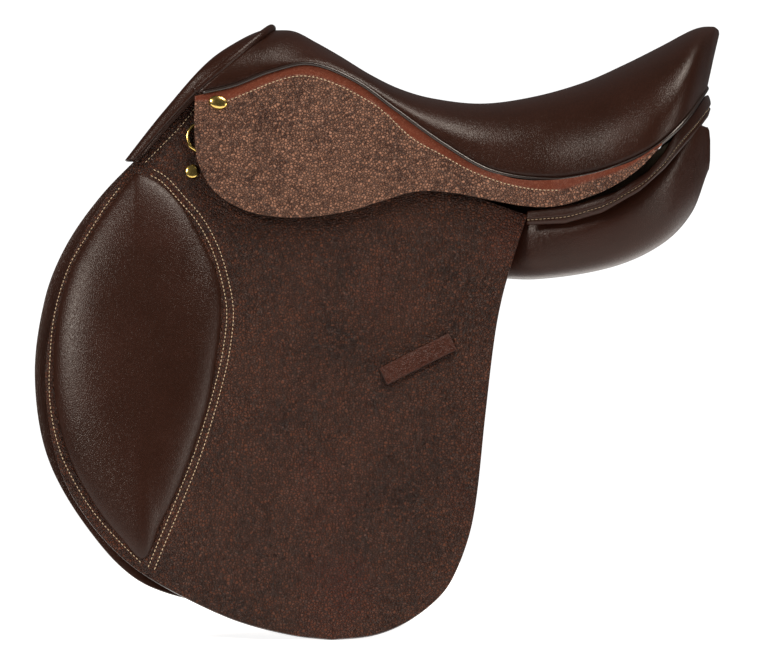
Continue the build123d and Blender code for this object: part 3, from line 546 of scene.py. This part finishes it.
# ------------------------------------------------------------------ skirts
SKIRT_TOP = [(-239, 148), (-207, 156.3), (-180, 167.5), (-160, 173.5), (-141, 174.8), (-123, 169.5), (-105, 160.5),
             (-84.5, 145), (-54, 122.9), (-33, 108.5), (-12.7, 94.1), (7.6, 84.8), (30.4, 78.1), (55, 77.2),
             (79.4, 79.8), (110, 87.5), (130, 95.5), (149, 108)]
SKIRT_LOW = [(-239.3, 129), (-238.7, 108.7), (-235.8, 92.3), (-225.4, 71.8), (-211, 59.5), (-190.5, 50.3),
             (-160, 46.2), (-129, 48.3), (-104.5, 53.3), (-84.5, 59.5), (-54, 68), (-23, 66.8), (3.4, 61.7),
             (38.4, 55.4), (63, 55.8), (89.6, 63.6), (110, 72.8), (130.6, 87), (149, 106)]
SKIRT_THREAD = [(-212, 143.5), (-190.5, 152.7), (-170, 161), (-149.6, 165), (-129, 161), (-104.5, 149.6),
                (-84.5, 137.3), (-58, 112.7), (-33, 98.4), (-8.7, 85), (17.7, 75), (42, 69.7), (64, 68.7)]
TAIL_PLAN = np.array([(-60, 82), (-20, 90), (6, 97), (59, 105), (101, 118.5), (128, 122.5), (150, 120)])


def skirt_spot(x, z, out=0.0):
    """Near-side points on the skirt: the leaning plane, easing into the seat's plan line."""
    flat = on_leaf(x, z, out)
    plan = np.interp(x, TAIL_PLAN[:, 0], TAIL_PLAN[:, 1]) + out + (84 - z) * 0.04
    tail = np.stack([x, -plan, z], axis=-1)
    share = ease(x, -30.0, 55.0)[..., None]
    return flat * (1 - share) + tail * share


def skirt_surface(columns=150, rows=34):
    """Straight lines from the seam to the lower edge, the first of them down the front edge."""
    top = path_through(SKIRT_TOP, columns)
    front = path_through(SKIRT_LOW, columns)
    share = np.linspace(0, 1, rows)[:, None, None]
    flat = top * (1 - share) + front * share
    return skirt_spot(flat[..., 0], flat[..., 1])


def near_seam(skirt):
    """Writes 1 between the seam and the stitch line and 0 below it, with a soft step. A point's
    height is compared with the stitch line's height at its own x."""
    points = np.empty(len(skirt.data.vertices) * 3)
    skirt.data.vertices.foreach_get("co", points)
    x, _, z = points.reshape(-1, 3).T / MM
    line = path_through(SKIRT_THREAD + [(90, 76), (120, 87), (149, 106)], 200)
    share = 0.85 * ease(z - np.interp(x, line[:, 0], line[:, 1]), -1.5, 2.0)
    skirt.data.attributes.new("near_seam", "FLOAT", "POINT").data.foreach_set("value", share)


class SADDLE_OT_skirts(Operator):
    """The skirts, their stitching, nails and the studs under them"""

    bl_idname = "saddle.skirts"
    bl_label = "Skirts"

    def execute(self, context):
        for side in SIDES:
            skirt = mesh_grid(f"skirt_leather_{side}", both(side, skirt_surface()), ["skirt", "edge"], None,
                              outward=outward_of(side))
            near_seam(skirt)
            thicken(skirt, 2.8)
            fold_blend(skirt)
            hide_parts(f"skirt_{side}", f"skirt_seam_{side}")
            line = path_through(SKIRT_THREAD, 160)
            row = mirrored(side, skirt_spot(line[:, 0], line[:, 1], 0.25))
            thread = stitches(f"skirt_stitching_{side}", row, outward_of(side), "saddle")
        nails("skirt_nail_heads", (-219.5, 142.5), 0.1, 8.0, 5.6, 3.0, -12, "skirt_nails")
        nails("point_stud_heads", (-241, 87.5), FLAP_DEPTH + 0.1, 5.9, 5.7, 2.0, 0, "point_studs")
        return {"FINISHED"}


def nails(name, place, depth, long_way, short_way, height, turn, node):
    """Domed nail heads, one piece on each side: rings whose height falls as a circle's."""
    r = np.concatenate([np.sin(np.linspace(0, np.pi / 2, 14)), [1.0]])
    lift = np.concatenate([np.cos(np.linspace(0, np.pi / 2, 14)) ** 0.8 * height + 0.5, [0.0]])
    around = np.linspace(0, 2 * np.pi, 40, endpoint=False)
    a, b = long_way * r[:, None] * np.cos(around), short_way * r[:, None] * np.sin(around)
    t = np.radians(turn)
    x = place[0] + a * np.cos(t) - b * np.sin(t)
    z = place[1] + a * np.sin(t) + b * np.cos(t)
    grid = on_leaf(x, z, depth + np.broadcast_to(lift[:, None], x.shape))
    pieces = [mesh_grid(f"{name}_{side}", both(side, grid), ["brass"], "saddle", around=True,
                        outward=outward_of(side)) for side in SIDES]
    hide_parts(node)


def fold_blend(piece):
    """Bakes a sheet's transform into its mesh."""
    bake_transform(piece)


# ------------------------------------------------------------------ flaps
FLAP_FRONT = [(-239.6, 147.5), (-254, 132.7), (-279, 104), (-298, 84), (-320, 55), (-341, 15), (-355, -30),
              (-361, -75), (-358, -120), (-346, -165), (-325, -200), (-300, -228), (-277, -246), (-240, -266),
              (-200, -283), (-156, -294), (-124, -297.6)]
FLAP_REAR = [(38, 51), (27, 18), (17.7, -13.5), (11, -47), (2.5, -115), (-5, -182), (-12, -216), (-26, -250),
             (-40, -267), (-64, -284), (-90, -294), (-124, -297.6)]
FRONT_THREAD = [(-239.6, 140), (-251, 125.5), (-266.8, 109), (-278.9, 96.5), (-289, 87), (-307.6, 66), (-326, 37),
                (-342.5, 8.5), (-353.6, -28), (-357.3, -63), (-357, -105), (-348, -145), (-333, -175),
                (-318, -197), (-299, -218), (-280, -236.5)]
INNER_THREAD = [(-286, 88), (-268, 80), (-251.5, 62.7), (-236, 44.5), (-223.4, 20.7), (-215, -7.4), (-211.5, -29.7),
                (-213.6, -56.4), (-219, -84.4), (-235, -140), (-252, -184.5), (-268, -223), (-275, -240.6)]
PAD_OUTLINE = [(-288, 86), (-279.7, 83.7), (-264, 74), (-247.6, 56), (-230.7, 26), (-219, -1.7), (-216, -28),
               (-219, -63), (-226, -105), (-237, -140), (-251, -177), (-263.6, -203), (-278.5, -233), (-299, -214),
               (-317, -192), (-337, -158), (-350, -118), (-354.5, -75), (-351, -30), (-340, 8), (-322, 40),
               (-304, 66), (-288, 86)]


def flap_out(x, z):
    """How far the flap bellies out of its plane below the skirt, up to 3 mm."""
    low = ease(-z, -20, 120) * ease(z, -300, -200)
    return 3.0 * low * ease(x, -350, -250) * ease(-x, -20, 60)


def flap_spot(x, z, out=0.0):
    return on_leaf(x, z, FLAP_DEPTH + out + flap_out(x, z))


def flap_surface(rows=130, columns=90):
    """Straight lines from the front edge to the rear edge, which meet at the lowest point."""
    front, rear = path_through(FLAP_FRONT, rows), path_through(FLAP_REAR, rows)
    share = np.linspace(0, 1, columns)[None, :, None]
    flat = front[:, None] * (1 - share) + rear[:, None] * share
    return flap_spot(flat[..., 0], flat[..., 1])


def pad_surface(height, rings=36, around=170):
    """Rings shrinking from the pad's outline to its middle. The height rises steeply inside the
    seam and then flattens, a little fuller towards the front edge."""
    outline = path_through(PAD_OUTLINE, around + 1)[:-1]
    middle = np.array([-287.0, -72.0])
    r = np.sin(np.linspace(0, np.pi / 2, rings))
    flat = middle + (outline - middle)[None] * r[:, None, None]
    x, z = flat[..., 0], flat[..., 1]
    rise = (1 - r[:, None] ** 3.4) ** 0.62
    fuller = 0.86 + 0.14 * ease(-x, 250, 330)
    grid = flap_spot(x, z, 0.3 + height * rise * fuller)
    under = flap_spot(flat[::-1, :, 0], flat[::-1, :, 1], 0.1)
    return np.concatenate([grid, under])


class SADDLE_OT_flaps(Operator):
    """The flaps, their stitching, knee pads and surcingle keepers"""

    bl_idname = "saddle.flaps"
    bl_label = "Flaps"

    def execute(self, context):
        sizes = context.scene.saddle_sizes
        for side in SIDES:
            body = f"flap_{side}"
            flap = mesh_grid(f"flap_leather_{side}", both(side, flap_surface()), ["grain", "edge"], None,
                             outward=outward_of(side))
            thicken(flap, 3.5)
            fold_blend(flap)
            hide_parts(body, f"flap_top_{side}")
            pad = mesh_grid(f"knee_pad_leather_{side}", both(side, pad_surface(sizes.pad_height / MM)), ["smooth"],
                            body, around=True)
            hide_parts(f"knee_pad_{side}")
            line = path_through(FRONT_THREAD, 200)
            rows = {"front": line[line[:, 1] < 74], "inner": path_through(INNER_THREAD, 200)[6:]}
            inner = rows["inner"]
            step = np.gradient(inner, axis=0)
            step /= np.linalg.norm(step, axis=1)[:, None]
            rows["outer"] = inner + np.stack([-step[:, 1], step[:, 0]], 1) * 5.5
            rows["top"] = line[line[:, 1] > 94]
            for key, row in rows.items():
                place = mirrored(side, flap_spot(row[:, 0], row[:, 1], 0.2))
                thread = stitches(f"flap_{key}_stitching_{side}", place, outward_of(side),
                                  "saddle" if key == "top" else body)
            keeper(side, body)
        return {"FINISHED"}


def keeper(side, body):
    """A flat leather loop, stitched down at both ends, rising to the rear."""
    t = np.radians(27.0)
    u = np.linspace(-1, 1, 40)
    v = np.linspace(-1, 1, 12)
    a, b = np.meshgrid(u * 32.5, v * 7.8, indexing="ij")
    x = -53 + a * np.cos(t) - b * np.sin(t)
    z = -69.5 + a * np.sin(t) + b * np.cos(t)
    crown = 0.8 * (1 - u[:, None] ** 4) + 0.4 * (1 - v[None] ** 4)
    strap = mesh_grid(f"keeper_leather_{side}", both(side, flap_spot(x, z, 2.0 + crown)), ["strap", "edge"], body,
                      outward=outward_of(side))
    thicken(strap, 2.1)
    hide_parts(f"surcingle_keeper_{side}")
    for end in (-1, 1):
        b = np.linspace(-6.2, 6.2, 12)
        a = np.full(12, end * 30.0)
        x, z = -53 + a * np.cos(t) - b * np.sin(t), -69.5 + a * np.sin(t) + b * np.cos(t)
        thread = stitches(f"keeper_stitching_{'low' if end < 0 else 'high'}_{side}",
                          mirrored(side, flap_spot(x, z, 2.7)), outward_of(side), body, "strap", 1.8, 0.9, 0.4)


# ------------------------------------------------------------------ sweat flaps
SWEAT_FRONT = [(-284, 106), (-318, 70), (-346, 29), (-363, -15), (-370.5, -81), (-357.5, -150), (-316, -216),
               (-275, -251), (-200, -269), (-125, -276)]
SWEAT_REAR = [(16, 30), (-8, -30), (-20, -110), (-32, -190), (-50, -244), (-80, -268), (-125, -276)]


class SADDLE_OT_under(Operator):
    """The sweat flaps, the flocked panels and the facings round them"""

    bl_idname = "saddle.under"
    bl_label = "Panels and sweat flaps"

    def execute(self, context):
        for side in SIDES:
            front, rear = path_through(SWEAT_FRONT, 110), path_through(SWEAT_REAR, 110)
            share = np.linspace(0, 1, 60)[None, :, None]
            flat = front[:, None] * (1 - share) + rear[:, None] * share
            grid = both(side, on_leaf(flat[..., 0], flat[..., 1], np.full(flat.shape[:2], SWEAT_DEPTH)))
            leaf = mesh_grid(f"sweat_flap_leather_{side}", grid, ["smooth", "edge"], "saddle",
                             outward=outward_of(side))
            thicken(leaf, 2.8)
            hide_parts(f"sweat_flap_{side}")
            panel = mesh_grid(f"panel_leather_{side}", both(side, panel_surface()), ["smooth"], "saddle", around=True)
            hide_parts(f"panel_cover_{side}", f"panel_flock_{side}")
        rear_facing()
        return {"FINISHED"}


# Panel stations: x, then (half width, z) of inner top, inner low, outer low and outer top
STATIONS = [
    (-262, (54, 62), (86, -44), (97, -46), (58, 64)),
    (-225, (37, 92), (80, -56), (98, -59), (46, 93)),
    (-150, (34, 93), (72, -50), (96, -53), (46, 95)),
    (-80, (32, 84), (50, -20), (89, -22), (47, 86)),
    (-10, (31, 76), (36, -3), (84, -4), (56, 78)),
    (50, (31, 76), (34, -4), (93, -4), (96, 46)),
    (108, (33, 90), (34, 4), (101, 6), (110, 58)),
    (150, (35, 112), (36, 22), (95, 26), (104, 90)),
    (176, (38, 122), (38, 48), (76, 53), (84, 124)),
    (190, (42, 120), (42, 84), (56, 86), (60, 124)),
]


def panel_surface(count=110, around=56):
    """A stuffed roll: each section is a rounded square stretched over the station's corners."""
    flat = [[x] + [c for corner in corners for c in corner] for x, *corners in STATIONS]
    rows = path_through(flat, count)
    turn = np.linspace(0, 2 * np.pi, around, endpoint=False)
    a = np.sign(np.cos(turn)) * np.abs(np.cos(turn)) ** 0.62
    b = np.sign(np.sin(turn)) * np.abs(np.sin(turn)) ** 0.62
    corners = rows[:, 1:].reshape(count, 4, 2)
    weights = np.stack([(1 - a) * (1 + b), (1 - a) * (1 - b), (1 + a) * (1 - b), (1 + a) * (1 + b)], 0) / 4
    section = np.einsum("ck,ncd->nkd", weights, corners)
    x = np.broadcast_to(rows[:, :1], section.shape[:2])
    grid = np.stack([x, -section[..., 0], section[..., 1]], axis=-1)
    middle = grid.mean(axis=1, keepdims=True)
    ends = []
    for row, way in ((0, -1), (-1, 1)):
        for share, push in ((0.86, 3.0), (0.5, 5.0), (0.0, 5.5)):
            ends.append(middle[row] + (grid[row] - middle[row]) * share + [way * push * 0.4, 0, 0])
    return np.concatenate([np.stack(ends[2::-1]), grid, np.stack(ends[3:])])


REAR_TOP = np.array([(38, 51.5), (79, 57.5), (110, 67.6), (136.7, 84), (151, 100.6), (161, 117), (177.5, 135),
                     (188, 149), (194, 152)])
REAR_LOW = np.array([(38, 40), (69, 41), (100, 50), (130.6, 67.7), (151, 86), (167, 104.5), (180, 119), (190, 131),
                     (194, 139)])
REAR_PLAN = [(38, 97), (75, 105), (108, 113), (138, 114), (160, 101), (178, 74), (188, 42), (192.5, 0)]


def rear_band(t_low, t_high, out, rows):
    """A band round the rear between two heights of the facing, standing out by out mm.
    It follows the plan line from the near side round the cantle to the off side."""
    half = path_through(REAR_PLAN, 110)
    line = np.concatenate([half * [1, -1], (half[::-1])[1:]])
    step = np.gradient(line, axis=0)
    step /= np.linalg.norm(step, axis=1)[:, None]
    side = np.stack([step[:, 1], -step[:, 0]], 1)
    top = np.interp(line[:, 0], REAR_TOP[:, 0], REAR_TOP[:, 1])
    low = np.interp(line[:, 0], REAR_LOW[:, 0], REAR_LOW[:, 1])
    share = np.linspace(t_low, t_high, rows)[None]
    z = low[:, None] * (1 - share) + top[:, None] * share
    out = np.broadcast_to(out, (rows,))
    place = line[:, None] + side[:, None] * out[None, :, None]
    return np.stack([place[..., 0], place[..., 1], z], axis=-1)


def rear_facing():
    """The band that joins the panels to the seat: two soft rolls with a sewn groove between."""
    share = np.linspace(0, 1, 22)
    groove = 1 - 0.75 * np.exp(-(((share - 0.36) / 0.07) ** 2))
    out = 2.6 * np.abs(np.sin(np.pi * share**0.8)) ** 0.6 * groove
    band = mesh_grid("rear_facing_leather", rear_band(0.0, 1.0, out, 22), ["smooth", "edge"], "saddle")
    thicken(band, 2.4, 0)
    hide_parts("rear_facing")
    row = rear_band(0.36, 0.36, 1.2, 1)[:, 0]
    thread = stitches("rear_facing_stitching", row, (0, 0, 1), "saddle")


# ------------------------------------------------------------------ carried-over nodes and stage
NODE_FINISHES = {
    "wood": ["saddle_tree"],
    "steel": ["head_plate", "gullet_plate", "tree_rivets", "bar_rivets", "catch_pins", "tree_spring", "stirrup_bar",
              "bar_catch"],
    "brass": ["dee_left", "dee_right"],
    "web": ["seat_webs", "girth_web"],
    "foam": ["seat_foam"],
    "wool": ["panel_flock"],
    "smooth": ["gullet_lining"],
    "strap": ["girth_strap", "dee_clip", "point_pocket"],
}


class SADDLE_OT_fittings(Operator):
    """Gives the tree, webs, straps and metal fittings their finishes"""

    bl_idname = "saddle.fittings"
    bl_label = "Tree and fittings"

    def execute(self, context):
        for finish, starts in NODE_FINISHES.items():
            for name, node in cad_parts.items():
                if name.startswith(tuple(starts)):
                    for slot in node.material_slots:
                        slot.link = "OBJECT"
                        slot.material = FINISHES[finish]
        return {"FINISHED"}


class SADDLE_OT_stage(Operator):
    """A pale floor, soft lights and the camera"""

    bl_idname = "saddle.stage"
    bl_label = "Stage"

    def execute(self, context):
        sizes = context.scene.saddle_sizes
        pale = plain_finish("pale_studio_card", "#f4f3f1", 0.9, speck=60.0, depth=0.0)
        glow = next(node for node in pale.node_tree.nodes if node.type == "BSDF_PRINCIPLED")
        glow.inputs["Emission Color"].default_value = linear("#ffffff")
        glow.inputs["Emission Strength"].default_value = 0.9
        FINISHES["card"] = pale
        low = float(cad_box[0][2]) / MM - 2
        line = np.linspace(-1700, 1700, 18)
        grid = np.stack(np.broadcast_arrays(line[None], line[:, None], np.array(low)), axis=-1)
        card = mesh_grid("studio_card", grid, ["card"], None, outward=(0, 0, 1))
        lamps = [("key", (-2.0, -1.5, 1.5), 0.8, sizes.key_light), ("top", (0.6, -0.5, 2.2), 0.9, sizes.top_light),
                 ("fill", (2.4, -1.7, 0.4), 1.0, sizes.fill_light)]
        for name, place, size, power in lamps:
            data = bpy.data.lights.new(f"{name}_softbox", "AREA")
            data.size = size
            data.energy = power
            data.color = linear("#fff3e6")[:3]
            lamp = bpy.data.objects.new(f"{name}_softbox", data)
            lamp.location = place
            lamp.rotation_euler = aimed(np.array([-0.08, 0, 0]) - place)
            context.scene.collection.objects.link(lamp)
        world = bpy.data.worlds.new("pale_room")
        world.use_nodes = True
        sky = world.node_tree
        # White to look at, and dimmer as a light, so that the leather keeps its depth
        seen = add(sky, "ShaderNodeLightPath").outputs["Is Camera Ray"]
        level = add(sky, "ShaderNodeMapRange", {"Value": seen, "To Min": sizes.room_light, "To Max": 1.1})
        sky.nodes["Background"].inputs["Color"].default_value = linear("#ffffff")
        sky.links.new(level.outputs["Result"], sky.nodes["Background"].inputs["Strength"])
        context.scene.world = world
        data = bpy.data.cameras.new("portrait_camera")
        distance, sensor = 6.0, 36.0
        data.sensor_width = sensor
        data.lens = sensor * distance / sizes.view_width
        data.clip_end = 60.0
        camera = bpy.data.objects.new("portrait_camera", data)
        camera.location = (-0.0845, -distance, -0.0418)
        camera.rotation_euler = (np.pi / 2, 0, 0)
        context.scene.collection.objects.link(camera)
        context.scene.camera = camera
        context.scene.view_settings.view_transform = "Standard"
        return {"FINISHED"}


def aimed(aim):
    """Euler angles that turn a lamp's -Z to a direction."""
    return Vector(aim).to_track_quat("-Z", "Y").to_euler()


class SaddleSizes(PropertyGroup):
    """The sizes and light levels that a user would change"""

    pad_height: FloatProperty(name="Knee pad height", description="How far the knee pads stand off the flaps",
                              default=0.0150, unit="LENGTH", min=0.004, max=0.0158)
    view_width: FloatProperty(name="View width", description="Width that the camera takes in at the saddle",
                              default=0.642, unit="LENGTH", min=0.2, max=3.0)
    key_light: FloatProperty(name="Key light", description="Power of the light at the front left",
                             default=70.0, unit="POWER", min=0.0)
    top_light: FloatProperty(name="Top light", description="Power of the light overhead",
                             default=60.0, unit="POWER", min=0.0)
    fill_light: FloatProperty(name="Fill light", description="Power of the light at the front right",
                              default=35.0, unit="POWER", min=0.0)
    room_light: FloatProperty(name="Room light", description="Brightness of the pale room",
                              default=0.10, min=0.0)


def colour_choice(name, description, code):
    return FloatVectorProperty(name=name, description=description, subtype="COLOR", size=4, min=0.0, max=1.0,
                               default=linear(code))


class SaddleColours(PropertyGroup):
    """The colours that a user would change"""

    flap_leather: colour_choice("Flap leather", "Tops of the grain on the flaps", "#4d2d20")
    skirt_leather: colour_choice("Skirt leather", "Tops of the grain on the skirts", "#86614f")
    seat_leather: colour_choice("Seat leather", "Smooth leather of the seat, pads and panels", "#29150e")
    thread: colour_choice("Thread", "Stitching on the skirts, flaps and facing", "#b8a488")
    brass: colour_choice("Brass", "Nails, studs and dees", "#c9b06a")


class SADDLE_PT_panel(Panel):
    """Lists the saddle's parts in the sidebar"""

    bl_idname = "SADDLE_PT_panel"
    bl_label = "Saddle"
    bl_space_type = "VIEW_3D"
    bl_region_type = "UI"
    bl_category = "Saddle"

    def draw(self, context):
        for group, settings in ((SaddleSizes, "saddle_sizes"), (SaddleColours, "saddle_colours")):
            for name in group.__annotations__:
                self.layout.prop(getattr(context.scene, settings), name)
        for operator in OPERATORS:
            self.layout.operator(operator.bl_idname)


OPERATORS = (SADDLE_OT_seat, SADDLE_OT_pommel, SADDLE_OT_skirts, SADDLE_OT_flaps, SADDLE_OT_under,
             SADDLE_OT_fittings, SADDLE_OT_stage)
CLASSES = (SaddleSizes, SaddleColours, *OPERATORS, SADDLE_PT_panel)


def register():
    for item in CLASSES:
        bpy.utils.register_class(item)
    bpy.types.Scene.saddle_sizes = PointerProperty(type=SaddleSizes)
    bpy.types.Scene.saddle_colours = PointerProperty(type=SaddleColours)


def unregister():
    del bpy.types.Scene.saddle_colours
    del bpy.types.Scene.saddle_sizes
    for item in reversed(CLASSES):
        bpy.utils.unregister_class(item)


def main():
    register()
    make_finishes(bpy.context.scene.saddle_colours)
    for operator in OPERATORS:
        group, name = operator.bl_idname.split(".")
        getattr(getattr(bpy.ops, group), name)()


if __name__ == "__main__":
    main()
